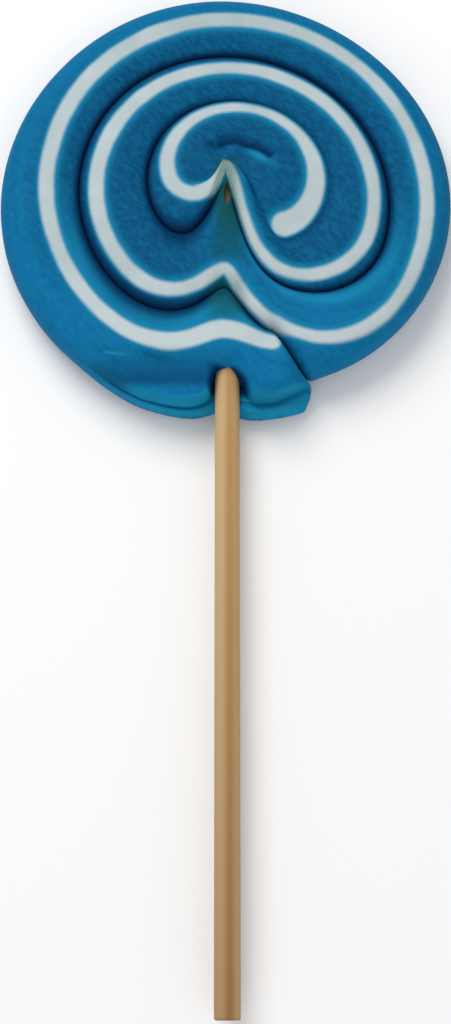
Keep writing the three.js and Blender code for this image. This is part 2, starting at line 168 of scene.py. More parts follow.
# The fold on the rope's outer end: a point of its line, slope, and the wave along it as start,
# length and height. Then x from and to with the fading at each end, its depth, the height and
# distance of the ridge above it, and the width of both.
FOLD_LINE = (-18, -32.3, -0.2)
FOLD_WAVE = (-20, 4, 0.5)
FOLD_X = (-22.5, -15.5, 1.5, 3)
FOLD_FORM = (0.3, 0.2, 1.2, 0.7)
# The faint crease from the fold toward the mouth: x where it bends down and over how far, y, drop
# and power. Then x from and to with the fading at each end.
TAIL_CREASE = (-16.5, 9.9, -31.6, 3, 2.5)
TAIL_CREASE_X = (-18, -5.5, 4, 3)
# The painted highlight on the fold's edge: slope, y at the middle, half width, x from and to with the
# fading at each end, and the heights between which it comes up.
GLINT_LINE = (-0.089, -33.28, 0.5)
GLINT_X = (-22.3, -15.0, 1, 5)
GLINT_Z = (8, 9)

# The stick, the mouth where it comes out and the slot over it.
STICK_Z = 5.6
MOUTH_TOP = -33.75
MOUTH_SIDES = ((3.0, 2.2, 3.5), (6.0, 4.2, 1.3))  # arch's drop, half width and power, left and right
MOUTH_ROUNDING = 0.5  # of the arch's top
MOUTH_LIP = (8.3, 0.9, 0.8)  # height at the arch, rise outside it, and rounding of its edge
MOUTH_WALL = (5.0, 10.0, 0.4)  # the same for the wall under the lip
MOUTH_SHADE = (1.3, 0.4, 0.3)  # painted shade round the mouth: rise outside the arch, darkening in it, less of it at the top
MOUTH_SHADE_TOP = 1.3  # half width of that top, where the rise is twice as steep
MOUTH_SHADE_LOW = (-35.8, 4, 2)  # y below which it fades, over how far, and by how much
SLOT = (-2.6, 1.9, 0.5)  # lens over the stick: y from and to, and half width
SLOT_EDGE = 0.3
SLOT_DEPTH = 2.28  # height of its floor over the stick's axis
THIN_SIDES = (3.3, 0.06, 2.9)  # where wood shows through: half width, more of it for each y, and fading
THIN_TOP = (-15, 7.1, 3, 1.3)  # y from and to, and the fading at each end, under the first peak
THIN_TOP_FROM = (0.6, 14)  # how strong it is at its lower end, and over how far it gets whole
THIN_LOW = (-27, -15, 5, 4)  # the same as THIN_TOP under the second peak
THIN_LOW_SHARE = 0.75
STICK_SIDES = 96
ROUNDING_STEPS = 6
WOOD_DARKENS = (-40, 110)  # y below which the wood darkens toward its end, and over how far
WOOD_SIDES = (1.5, 0.2, 0.5, 0.6)  # painted sheen on the lit sides: steepness, shift, less toward the end, share on the right
WOOD_CUT = (0.5, 0.4)  # dark edge of the cut end: how far up the stick, and fading
WOOD_RING = (3, 1.6)  # how steeply it comes up across the end, and its shift

# How the candy's colour takes its forms, with painted shade and painted light, in millimetres and degrees.
NO_GROOVE = 9.0  # a distance at which no painted shade darkens
SEAM_SHADE = (0.75, 0.5)  # painted shade along the seam: distance at its line, and how it rises beside it
INNER_BREADTH = 1.6  # how much more the painted shade of a broad groove darkens the turn outside it
NOTCH_SHADE = (0.4, 0.8, 25)  # painted shade at the notch: its distance, and the last groove's fading and its degrees
FOOT_SHADE = (1.35, 0.9, -4, 6)  # painted shade along the foot's crease: distance at the left and right, x from and over
FOOT_SHADE_RISE = (3, 2.2)  # how it rises on the foot and on the body
TAIL_SHADE = (0.8, 0.6, 2)  # painted shade along the faint crease: distance, its rise, and more past its ends
DUSK_SHADE = (0.6, 1.5)  # painted shade at the dusk: distance at its middle and its rise
LIP_OVER = 0.4  # the painted light on the foot comes up over this much, from half as far past the crease
EDGE_LIGHT = (0.15, 0.3, 0.9)  # painted light before the crease: how far, width and strength
LOWER = (6, 36)  # y below which painted light brightens the candy, and over how far
OUTER_TURN = (600, 40)  # where the outer turn starts and over how many degrees
SHOULDER = (2.4, 1.3, 0.75)  # painted light along its inner shoulder: how far in, width and strength
RIM_LIGHT = (30, 9, 0.75, 0.95)  # brighter blue, painted light on the lower side: radius, over how far, share above and on the outer turn
PEAK = (2.3, 9)  # half width and y of the first peak
PEAK_VEIL = (0.8, 4.8, 2)  # blue over its white: strength, y and over how far
PEAK_GLOW = (3.5, 2)  # y above which its white has no glow, and over how far
GLOW = (0.9, 0.45)  # width of the glow beside the white, inward and outward

# Patterns: scales along the rope and across it, or in space, per metre.
PULLED_SCALE = (0.09, 0.7, 1.0)
CLOUD_SCALE = (150.0, 150.0, 150.0)
HATCH_SCALE = (500.0, 2600.0, 900.0)
MOTTLE_SCALE = (700.0, 1300.0, 900.0)
HATCH_DEG = 40
GRAIN_SCALE = (2600.0, 40.0, 2600.0)
BROAD_SCALE = (500.0, 9.0, 500.0)
PORE_SCALE = (5200.0, 260.0, 5200.0)
FLOOR_SCALE = (6.0, 6.0, 6.0)
GROOVE_DISTANCE = (-0.1, 1.5)  # from the darkest painted shade of a groove to none

# The stage, from the disc's middle.
VIEW_MIDDLE = (-0.3, -67.845, 5.5)
LIT_MIDDLE = (0, -40, 0)
KEY_LIGHT = (-200, 350, 510)
SOFT_LIGHT = (60, -560, 360)


def smooth(t):
    c = np.clip(t, 0, 1)
    return c * c * (3 - 2 * c)


def mix(a, b, t):
    return a + (b - a) * t


def within(x, low, high, rise, fall):
    """1 between low and high, with a smooth rise past the one and a fall before the other."""
    return smooth((x - low) / rise) * smooth((high - x) / fall)


def hump(x, at, over):
    """Bell with its top of 1 at the given place."""
    return np.exp(-(((x - at) / over) ** 2))


def along(table, x):
    """Catmull-Rom curve through evenly spaced values."""
    values, step = np.array(table[0], float), table[1]
    last = len(values) - 1
    u = np.clip(np.asarray(x, float) / step, 0, last - 1e-9)
    i = u.astype(int)
    t = u - i
    a, b, c, d = (values[np.clip(i + k, 0, last)] for k in (-1, 0, 1, 2))
    return b + 0.5 * t * (c - a + t * (2 * a - 5 * b + 4 * c - d + t * (3 * b - a - 3 * c + d)))


def ring_radius(turn, angle):
    east, north, west, south, diagonal = turn[:5]
    lobes, lobes_at = turn[7:]
    f = np.radians(angle)
    return (
        (east + north + west + south) / 4
        + (east - west) / 2 * np.cos(f)
        + (north - south) / 2 * np.sin(f)
        + (east + west - north - south) / 4 * np.cos(2 * f)
        + diagonal * np.sin(2 * f)
        + lobes * np.cos(3 * (f - np.radians(lobes_at)))
    )


def coil_radius(turns, angle):
    radius = ring_radius(turns[0], angle)
    for before, turn in zip(turns, turns[1:]):
        share = smooth((angle - turn[5]) / turn[6] + 0.5)
        radius = radius + (ring_radius(turn, angle) - ring_radius(before, angle)) * share
    return radius


def push(radius, angle):
    """How far up the stick has pushed a point of the coil."""
    x = radius * np.cos(np.radians(angle))
    below = smooth((-np.sin(np.radians(angle)) + PUSH_TURN_ON) / PUSH_TURN_OVER)
    above = PUSH_AT_POLE * (1 - smooth(radius / PUSH_POLE_REACH))
    width = along(PUSH_WIDTH, radius)
    rounding = along(PUSH_ROUNDING, radius)
    across = np.hypot(x - PUSH_AXIS_X, rounding) - rounding
    return mix(above, along(PUSH, radius), below) * np.exp(-across / width)


def place(radius, angle):
    """Plan position of a point of the coil, pushed by the stick."""
    f = np.radians(angle)
    return radius * np.cos(f), radius * np.sin(f) + push(radius, angle)


POLE_Y = float(place(np.array(0.0), np.array(0.0))[1])


def column_angle(i):
    """Unwound angle of a column: they are closer together toward the stick."""
    even = FIRST_COLUMN_DEG + i * TURN / COLUMNS_PER_TURN
    return even - np.degrees(CROWDING) * np.cos(np.radians(even))


START_ANGLE = column_angle(0)
END_ANGLE = column_angle(COLUMNS)
NOTCH_ANGLE = column_angle(COLUMNS - COLUMNS_PER_TURN)


def bulge(s, power):
    """Round shoulder: 1 at 0, falling to 0 at 1 on either side."""
    return (1 - np.clip(np.abs(s), 0, 1) ** power) ** (1 / power)


def foot_share(angle):
    return smooth((angle - FOOT[0]) / (FOOT[1] - FOOT[0]))


def edge_radius(angle):
    """Radius of the groove outside the rope, or of the rim where there is no further turn."""
    size, reach = TAIL_CORNER
    corner = size * (1 - bulge(np.clip((angle - END_ANGLE) / reach + 1, 0, 1), 2))
    swell = sum(by * hump(angle, at, over) for at, over, by in SWELLS)
    wide = coil_radius(GROOVE_TURNS, angle) + FOOT_REACH * foot_share(angle) - corner + swell - RIM_INSET
    seam = START_SLOPE * (angle - START_ANGLE)
    rounded = (wide + seam - np.hypot(wide - seam, START_ROUNDING)) / 2
    return np.maximum(np.minimum(rounded, seam), 0)


def rim_height(angle):
    """Height at which the front and the back meet at the rim."""
    return mix(RIM_Z, FOOT[4], foot_share(angle))


def groove_height(angle, front, crown):
    opened = smooth((angle - NOTCH_ANGLE) / NOTCH_REACH + 1)
    if not front:
        return mix(BACK_GROOVE_Z, rim_height(angle), opened)
    since = angle - START_ANGLE
    first, last = SEAM_DEEPENS
    seam = mix(crown - POLE_Z, SEAM_DEPTH, smooth(since / SEAM_OPENS))
    depth = mix(seam, crown - FRONT_GROOVE_Z, smooth((since - first) / (last - first)))
    return mix(crown - depth, rim_height(angle), opened)


def foot_width(angle, width):
    """The foot's share of the rope's width."""
    across = sum(first + more * smooth((angle - start) / over) for first, more, start, over in FOOT_WIDTHS)
    return np.minimum(across / np.maximum(width, 0.1), FOOT_MOST)


def front_height(angle, t, crown, width):
    """Height of the shown face at a share t across the rope."""
    since = angle - TURN - START_ANGLE
    inner = np.where(since > 0, groove_height(angle - TURN, True, crown), POLE_Z)
    outer = groove_height(angle, True, crown)
    start, over = SEAM_SOFT
    round_in = smooth((since - start) / over)
    round_out = smooth((angle - START_ANGLE - start) / over)
    inside = mix(inner, crown, mix(smooth(2 * t), bulge(1 - 2 * t, FRONT_ROUNDNESS), round_in))
    fall = mix(smooth(2 - 2 * t), bulge(2 * t - 1, FRONT_ROUNDNESS), round_out)
    plain = mix(outer, crown, fall)
    crease_z, top_z = FOOT[2:4]
    share = foot_width(angle, width)
    crease_t = 1 - share
    top_t = 1 - FOOT_TOP * share
    body = mix(crease_z, crown, bulge((t - 0.5) / (crease_t - 0.5), FOOT_ROUNDNESS))
    ledge = mix(crease_z, top_z, smooth((t - crease_t) / (top_t - crease_t)))
    lip = mix(rim_height(angle), top_z, bulge((t - top_t) / (1 - top_t), 2))
    footed = np.where(t <= crease_t, body, np.where(t <= top_t, ledge, lip))
    full = np.where(t < 0.5, inside, mix(plain, footed, foot_share(angle)))
    flat, whole = SECTION_WIDTHS
    return mix(mix(inner, outer, t), full, smooth((width - flat) / (whole - flat)))


def back_height(angle, t):
    """The same for the flat back."""
    edge = (1 - BACK_FLAT) / 2
    wound = angle - TURN > START_ANGLE
    inner = np.where(wound, groove_height(angle - TURN, False, 0), 0)
    outer = groove_height(angle, False, 0)
    low = mix(inner, 0, bulge(1 - t / edge, BACK_ROUNDNESS))
    high = mix(outer, 0, bulge((t - 1 + edge) / edge, BACK_ROUNDNESS))
    return np.where(t < edge, low, np.where(t > 1 - edge, high, 0))


def arc_frame(x, y, middle, radius, between, fade):
    """Distance outside an arc in plan, and from 0 to 1 how far a point lies between its ends."""
    out = np.hypot(x - middle[0], y - middle[1]) - radius
    low, high = between
    centre = (low + high) / 2
    turn = np.degrees(np.arctan2(y - middle[1], x - middle[0]))
    beside = (high - low) / 2 - np.abs((turn - centre + 180) % TURN - 180)
    return out, smooth(beside / fade)


def arc_crease(x, y, z, middle, radius, between, fade, depth, width, swell):
    """A crease along an arc in plan: steep on the side of the arc's middle, which swells up, and
    soft on the other."""
    out, held = arc_frame(x, y, middle, radius, between, fade)
    top, inward, outward = CREASE_SWELLING
    dip = hump(out, 0, np.where(out < 0, CREASE_INSIDE, width))
    rise = hump(out, top, np.where(out < top, inward, outward))
    return z + held * (swell * rise - depth * dip)


def arc_shade(x, y, middle, radius, between, fade):
    """The same crease as a distance for the shade painted like that of the grooves."""
    out, held = arc_frame(x, y, middle, radius, between, fade)
    least, inward, outward, past = CREASE_SHADE
    return least + np.where(out < 0, -inward * out, outward * out) + past * (1 - held)


# Painted highlight on the ridge under the second crease, from 0 to 1.
def knuckle_light(x, y):
    middle_x, middle_y, direction, length, width = KNUCKLE
    c, s = np.cos(np.radians(direction)), np.sin(np.radians(direction))
    lengthwise = (x - middle_x) * c + (y - middle_y) * s
    across = (y - middle_y) * c - (x - middle_x) * s
    return hump(lengthwise, 0, length) * hump(across, 0, width)


def fold_line(x, y):
    """Distance above the fold on the tail, and from 0 to 1 how far a point lies between its ends."""
    at_x, at_y, slope = FOLD_LINE
    start, long, high = FOLD_WAVE
    return y - at_y - slope * (x - at_x) - high * np.sin((x - start) / long), within(x, *FOLD_X)


def tail_crease(x, y):
    """The same for the faint crease that runs from the fold toward the mouth."""
    start, over, level, drop, power = TAIL_CREASE
    share = np.clip((x - start) / over, 0, 1)
    return y - level + drop * share**power, within(x, *TAIL_CREASE_X)


def mouth_distance(x, y):
    """Distance outside the arch where the stick comes out, negative inside it."""
    away = []
    across = np.hypot(x, MOUTH_ROUNDING) - MOUTH_ROUNDING
    for drop, half, power in MOUTH_SIDES:
        share = np.clip(across / half, 1e-3, 1.5)
        slope = drop * power * share ** (power - 1) / half
        away.append((y - MOUTH_TOP + drop * share**power) / np.hypot(1, slope))
    return np.maximum(np.where(x < 0, *away), y - MOUTH_TOP)


def mouth_shade(x, y):
    """The arch as a distance for the shade painted round the stick's mouth, as in the grooves."""
    rise, darker, less = MOUTH_SHADE
    start, over, fade = MOUTH_SHADE_LOW
    top = hump(x, 0, MOUTH_SHADE_TOP)
    away = rise * (1 + top) * np.maximum(mouth_distance(x, y), 0)
    return away - darker + less * top + fade * smooth((start - y) / over)


def relief(x, y, z):
    """Small forms of the shown face: the creases and knuckle at the middle, the fold on the tail,
    the slot over the stick and the mouth where it comes out."""
    middle, spread, depth = MIDDLE_HOLLOW
    z = z - depth * np.exp(-(x * x + (y - middle) ** 2) / spread)
    for crease in MIDDLE_CREASES:
        z = arc_crease(x, y, z, *crease)
    fold, held = fold_line(x, y)
    depth, ridge, above, wide = FOLD_FORM
    z = z + held * (ridge * hump(fold, above, wide) - depth * hump(fold, 0, wide))
    half, low, high, fade, level, most = APEX
    over_stick = hump(x, 0, half) * within(y, low, high, fade, fade)
    z = mix(z, np.maximum(z, level), most * over_stick)
    z = np.minimum(z, TOP_Z)
    z = mix(z, np.minimum(z, STICK_Z + SLOT_DEPTH), slot_share(x, y))
    away = np.maximum(mouth_distance(x, y), 0)
    for level, slope, rounding in (MOUTH_LIP, MOUTH_WALL):
        z = smooth_least(z, level + slope * away, rounding)
    return z


def smooth_least(a, b, rounding):
    """The lesser of two, with the corner rounded where they are nearly equal."""
    share = np.clip(0.5 + (b - a) / (2 * rounding), 0, 1)
    return mix(b, a, share) - rounding * share * (1 - share)


def slot_share(x, y):
    """From 0 to 1 into the lens-shaped slot over the stick."""
    low, high, half = SLOT
    lens = half * (1 - np.clip((2 * y - low - high) / (high - low), -1, 1) ** 2)
    return smooth((lens - np.abs(x)) / SLOT_EDGE + 0.5) * (lens > 0)


def thinness(x, y):
    """How much of the stick shows through the candy over it, from 0 to 1."""
    half, widening, fade = THIN_SIDES
    beside = smooth((half + widening * np.maximum(-y, 0) - np.abs(x)) / fade)
    least, over = THIN_TOP_FROM
    top = mix(least, 1, smooth(y / over + 1)) * within(y, *THIN_TOP)
    return beside * (top + THIN_LOW_SHARE * within(y, *THIN_LOW))


STRIPE_ANGLES = np.arange(STRIPE_FROM, STRIPE_TO + STRIPE_STEP, STRIPE_STEP)


def stripe_width(angle):
    width = along(STRIPE_WIDTHS, angle - STRIPE_WIDTHS_FROM)
    for at, over, power, by in STRIPE_WAISTS:
        width -= by * np.exp(-((np.abs(angle - at) / over) ** power))
    return width


def stripe_radius(angle):
    at, over, by = STRIPE_SWELL
    return coil_radius(STRIPE_TURNS, angle) + by * hump(angle, at, over)


STRIPE_LINE = (
    *place(stripe_radius(STRIPE_ANGLES), STRIPE_ANGLES),
    stripe_width(STRIPE_ANGLES) / 2,
)


def stripe_reach(angle, x, y):
    """Distance from points of the rope, at its unwound angle, to the edge of the white layer:
    negative inside it."""
    reach = np.full(np.broadcast(angle, x).shape, np.inf)
    nearest = np.rint((angle - STRIPE_FROM) / STRIPE_STEP).astype(int)
    for k in range(-STRIPE_SEARCH, STRIPE_SEARCH + 1):
        at = np.clip(nearest + k, 0, len(STRIPE_ANGLES) - 1)
        sx, sy, half = (line[at] for line in STRIPE_LINE)
        reach = np.minimum(reach, np.hypot(x - sx, y - sy) - half)
    return reach


class Coil:
    """The rope's columns: where each lies, and between which shares of its width it is white."""

    def __init__(self):
        self.angle = column_angle(np.arange(COLUMNS + 1))
        self.inner = edge_radius(self.angle - TURN)
        self.outer = edge_radius(self.angle)
        t = np.linspace(0, 1, WIDTH_SAMPLES)
        x, y = self.plan(np.arange(COLUMNS + 1)[:, None], t)
        reach = stripe_reach(self.angle[:, None], x, y)
        inside = reach < 0
        self.white = np.flatnonzero(inside.any(1))
        self.low = np.zeros(COLUMNS + 1)
        self.high = np.zeros(COLUMNS + 1)
        for i in self.white:
            held = np.flatnonzero(inside[i])
            a, b = max(held[0], 1), min(held[-1], len(t) - 2)
            self.low[i] = np.interp(0, (reach[i, a], reach[i, a - 1]), (t[a], t[a - 1]))
            self.high[i] = np.interp(0, (reach[i, b], reach[i, b + 1]), (t[b], t[b + 1]))
        self.low = np.clip(self.low, EDGE_SHARE, 1 - EDGE_SHARE)
        self.high = np.clip(self.high, EDGE_SHARE, 1 - EDGE_SHARE)
        first, last = self.white[0], self.white[-1]
        for ends, at in ((slice(0, first), first), (slice(last + 1, None), last)):
            self.low[ends] = self.high[ends] = (self.low[at] + self.high[at]) / 2
        start, end, over = DOUBLED
        share = within(self.angle, start, end, over, over)
        kernel = np.hanning(EVENED_OVER) / np.hanning(EVENED_OVER).sum()
        for edge in (self.low, self.high):
            edge += share * (np.convolve(edge, kernel, "same") - edge)
        middle_x, middle_y = self.plan(np.arange(COLUMNS + 1), 0.5)
        strides = np.hypot(np.diff(middle_x), np.diff(middle_y))
        self.length = np.concatenate(((0,), np.cumsum(strides)))

    def plan(self, i, t):
        """Place in plan of a share t across column i."""
        radius = mix(self.inner[i], self.outer[i], t)
        twist, reach, power = TWIST
        out, back, over = TAIL_BULGE
        share = smooth((self.angle[i] - END_ANGLE) / over + 1)
        stretch = share * (out * np.sin(np.pi * t) ** 2 - back * t**4)
        return place(radius, self.angle[i] + stretch + twist * np.exp(-((radius / reach) ** power)))

    def height(self, i, t, front, crown):
        angle = self.angle[i]
        width = self.outer[i] - self.inner[i]
        if front:
            z = front_height(angle, t, crown, width)
        else:
            z = back_height(angle, t)
        ended = bulge(np.clip((angle - END_ANGLE) / TAIL_ROUND_DEG + 1, 0, 1), 2)
        middle = mix(rim_height(angle - TURN), rim_height(angle), t)
        z = mix(middle, z, np.where((t > 0) & (t < 1), mix(TAIL_END_SHARE, 1, ended), 1))
        z = np.where(i == 0, POLE_Z if front else 0, z)
        return relief(*self.plan(i, t), z) if front else z


# ---- Shader expressions ------------------------------------------------------------------------


class Value:
    """A shader socket that takes part in Python arithmetic."""

    def __init__(self, shader, socket):
        self.shader = shader
        self.socket = socket

    def _math(self, operation, *operands):
        return self.shader.node("ShaderNodeMath", {"operation": operation}, dict(enumerate(operands)))

    def __add__(self, other):
        return self._math("ADD", self, other)

    def __radd__(self, other):
        return self._math("ADD", other, self)

    def __sub__(self, other):
        return self._math("SUBTRACT", self, other)

    def __rsub__(self, other):
        return self._math("SUBTRACT", other, self)

    def __mul__(self, other):
        return self._math("MULTIPLY", self, other)

    def __rmul__(self, other):
        return self._math("MULTIPLY", other, self)

    def rise(self, low, high):
        """Smooth rise from 0 at low to 1 at high."""
        return self.shader.node(
            "ShaderNodeMapRange",
            {"interpolation_type": "SMOOTHSTEP"},
            {"Value": self, "From Min": low, "From Max": high},
        )

    def stretched(self, x, y, z):
        """A vector multiplied part by part."""
        return self.shader.node("ShaderNodeVectorMath", {"operation": "MULTIPLY"}, {0: self, 1: (x, y, z)})


class Shader:
    """A material's node tree, written as expressions."""

    def __init__(self, name):
        self.material = bpy.data.materials.new(name)
        self.material.use_nodes = True
        self.tree = self.material.node_tree
        self.tree.nodes.clear()

    def node(self, kind, settings=None, inputs=None, output=0):
        """Adds a node and gives the value of one of its outputs."""
        made = self.tree.nodes.new(kind)
        for key, value in (settings or {}).items():
            setattr(made, key, value)
        for key, value in (inputs or {}).items():
            if isinstance(value, Value):
                self.tree.links.new(value.socket, made.inputs[key])
            else:
                made.inputs[key].default_value = value
        return None if output is None else Value(self, made.outputs[output])

    def attribute(self, name):
        return self.node("ShaderNodeAttribute", {"attribute_name": name}, output="Fac")

    def place(self):
        return self.node("ShaderNodeTexCoord", output="Object")

    def part(self, vector, axis):
        return self.node("ShaderNodeSeparateXYZ", {}, {"Vector": vector}, output=axis)

    def rope(self):
        return self.node("ShaderNodeUVMap", {"uv_map": "rope"})

    def turned(self, vector, degrees):
        rotation = (0, 0, math.radians(degrees))
        return self.node("ShaderNodeMapping", {}, {"Vector": vector, "Rotation": rotation})

    def noise(self, vector, detail=2.0, roughness=0.5, distortion=0.0):
        inputs = {"Vector": vector, "Detail": detail, "Roughness": roughness, "Distortion": distortion}
        return self.node("ShaderNodeTexNoise", {}, {"Scale": 1.0, **inputs})

    def blend(self, share, first, second):
        return self.node("ShaderNodeMix", {"data_type": "RGBA"}, {0: share, 6: first, 7: second}, output=2)

    def bump(self, height, strength, distance):
        inputs = {"Height": height, "Strength": strength, "Distance": distance}
        return self.node("ShaderNodeBump", {}, inputs)

    def surface(self, **inputs):
        """Closes the tree with one surface and gives the material."""
        named = {key.replace("_", " "): value for key, value in inputs.items()}
        shader = self.node("ShaderNodeBsdfPrincipled", {}, named)
        self.node("ShaderNodeOutputMaterial", {}, {"Surface": shader}, output=None)
        return self.material


def colour(values):
    return (*values, 1.0)


def fold_glint(east, north, up):
    """Painted highlight on the fold's edge, from 0 to 1, from a point's place in metres."""
    slope, level, half = GLINT_LINE
    start, end, rise, fall = GLINT_X
    low, high = GLINT_Z
    off = north - east * slope - (level - POLE_Y) * MM
    across = (off + half * MM).rise(0, half * MM) * (half * MM - off).rise(0, half * MM)
    lengthwise = (east - start * MM).rise(0, rise * MM) * (end * MM - east).rise(0, fall * MM)
    return across * lengthwise * up.rise(low * MM, high * MM)


def candy_material(name, look):
    """Pulled sugar: one field of colour for both candies, so that their joint shows no edge. Shade is
    painted into its grooves and creases, and light onto some ridges and edges.
    """
    s = Shader(name)
    point = s.place()
    east, north, up = (s.part(point, axis) for axis in "XYZ")
    turned = s.turned(point, HATCH_DEG)
    pulled = s.noise(s.rope().stretched(*PULLED_SCALE), 2.0, 0.5, 0.2)
    hatch = s.noise(turned.stretched(*HATCH_SCALE), 3.0, 0.65)
    cloud = s.noise(point.stretched(*CLOUD_SCALE), 3.0, 0.55)
    mottle = s.noise(turned.stretched(*MOTTLE_SCALE), 2.0, 0.55, 0.3)
    # off_groove is 0 where shade is painted: in the grooves, the creases and round the stick's mouth.
    off_groove = s.attribute("groove").rise(*GROOVE_DISTANCE)
    thin = s.attribute("thin")
    # Brighter blue toward the rim; on the lower side's outer turn this is painted light.
    blue = s.blend(s.attribute("outer"), colour(look.deep_blue), colour(look.blue))
    blue = s.blend((pulled - 0.45) * 1.1, blue, colour(look.deep_blue))
    blue = s.blend((hatch - 0.45) * 0.4 + (mottle - 0.38) * 0.7, blue, colour(look.bleed_and_highlight))
    # Painted light: on the foot, before its crease, on the knuckle and along the outer turn's shoulder.
    blue = s.blend(s.attribute("light") * (0.4 + 1.2 * cloud), blue, colour(look.bleed_and_highlight))
    # Painted shade in the grooves, the creases and round the stick's mouth.
    blue = s.blend(off_groove, colour(look.painted_groove_shade), blue)
    blue = s.blend(s.attribute("glow") * 0.8, blue, colour(look.bleed_and_highlight))
    # Painted highlight on the fold's edge.
    glint = fold_glint(east, north, up) * (0.8 + 0.5 * hatch)
    blue = s.blend(glint, blue, colour(look.bleed_and_highlight))
    blue = s.blend(thin * (0.45 + 0.9 * cloud), blue, colour(look.through_blue))
    # Painted shade toward the top of the white and painted light toward its lower side.
    far_shade = north.rise(12 * MM, 28 * MM) * 0.5
    near_light = (north * -1.0).rise(22 * MM, 34 * MM) * 0.45
    white_shade = (cloud - 0.5) * 1.3 + 0.45 + far_shade - near_light
    white = s.blend(white_shade, colour(look.white), colour(look.white_shade))
    white = s.blend(thin * 0.85, white, colour(look.through_white))
    off_white = (s.attribute("stripe") + (cloud - 0.5) * 0.5).rise(-0.5, 0.4)
    paint = s.blend(1.0 - off_white, blue, white)
    paint = s.blend(s.attribute("bare"), paint, colour(look.bare))
    grain = (hatch - 0.5) * 0.2 + (cloud - 0.5) * 0.12
    return s.surface(
        Base_Color=paint,
        Roughness=grain - off_groove * 0.3 + (look.roughness + 0.3),
        Specular_IOR_Level=look.shine,
        Normal=s.bump(hatch * 0.35 + cloud * 0.8, 0.45, 0.25 * MM),
    )


def wood_material(name, look):
    """Planed softwood: grain along the stick, darker toward its free end and round its cut edge, with a
    painted sheen on its sides.
    """
    s = Shader(name)
    point = s.place()
    grain = s.noise(point.stretched(*GRAIN_SCALE), 3.0, 0.6, 0.3)
    broad = s.noise(point.stretched(*BROAD_SCALE))
    pores = s.noise(point.stretched(*PORE_SCALE))
    tan = s.blend(s.attribute("down"), colour(look.wood_near), colour(look.wood_far))
    tan = s.blend((grain - 0.4) * 0.9, tan, colour(look.wood_grain))
    tan = s.blend((broad - 0.45) * 0.5, tan, colour(look.light_grain_and_sheen))
    tan = s.blend((pores - 0.62) * 1.5, tan, colour(look.wood_grain))
    # Painted sheen on the stick's lit sides.
    tan = s.blend(s.attribute("side") * 0.8, tan, colour(look.light_grain_and_sheen))
    tan = s.blend(s.attribute("edge") * 0.55, tan, colour(look.wood_edge))
    return s.surface(
        Base_Color=tan,
        Roughness=(grain - 0.5) * 0.2 + 0.62,
        Specular_IOR_Level=0.25,
        Normal=s.bump(grain * 0.6 + pores * 0.4, 0.5, 0.12 * MM),
    )


def floor_material(name, look):
    """Pale matt paper."""
    s = Shader(name)
    tone = s.noise(s.place().stretched(*FLOOR_SCALE))
    paint = s.blend(tone * 0.3, colour(look.floor), colour([0.98 * c for c in look.floor]))
    return s.surface(Base_Color=paint, Roughness=0.9, Specular_IOR_Level=0.1)


# ---- Settings ------------------------------------------------------------------------------------


class LollipopCandy(bpy.types.PropertyGroup):
    crown: FloatProperty(
        name="Thickness",
        description="Height of the rope's top above the flat back",
        default=10.95 * MM,
        unit="LENGTH",
    )
    roughness: FloatProperty(
        name="Roughness", description="Roughness of the sugar", default=0.50, subtype="FACTOR"
    )
    shine: FloatProperty(
        name="Shine", description="Strength of the sugar's sheen", default=0.012, subtype="FACTOR"
    )
    blue: FloatVectorProperty(
        name="Blue",
        description="Colour of the blue candy",
        subtype="COLOR",
        default=(0.005, 0.150, 0.335),
    )
    # Toward the top, where the rim gets less of the brighter blue, this deeper blue is painted shade.
    deep_blue: FloatVectorProperty(
        name="Deep blue",
        description="Colour of the inner turns",
        subtype="COLOR",
        default=(0.003, 0.072, 0.178),
    )
    # Painted shade: this darker blue stands for the shade deep in the grooves, in the creases and round
    # the stick's mouth.
    painted_groove_shade: FloatVectorProperty(
        name="Groove",
        description="Colour deep in the grooves",
        subtype="COLOR",
        default=(0.002, 0.022, 0.075),
    )
    # Also the colour of the painted highlights on the foot, the knuckle, the outer turn's shoulder and the
    # fold's edge.
    bleed_and_highlight: FloatVectorProperty(
        name="Bleed",
        description="Where white and blue run together",
        subtype="COLOR",
        default=(0.010, 0.240, 0.420),
    )
    white: FloatVectorProperty(
        name="White",
        description="Colour of the white candy",
        subtype="COLOR",
        default=(0.50, 0.575, 0.595),
    )
    # Also the painted shade toward the top of the white.
    white_shade: FloatVectorProperty(
        name="White shade",
        description="Darker streaks of the white",
        subtype="COLOR",
        default=(0.37, 0.455, 0.47),
    )
    bare: FloatVectorProperty(
        name="Slot",
        description="Thin film over the wood in the slot",
        subtype="COLOR",
        default=(0.30, 0.25, 0.15),
    )
    through_blue: FloatVectorProperty(
        name="Blue over wood",
        description="Thin blue candy with the stick showing through",
        subtype="COLOR",
        default=(0.006, 0.075, 0.080),
    )
    through_white: FloatVectorProperty(
        name="White over wood",
        description="Thin white candy with the stick showing through",
        subtype="COLOR",
        default=(0.14, 0.24, 0.21),
    )


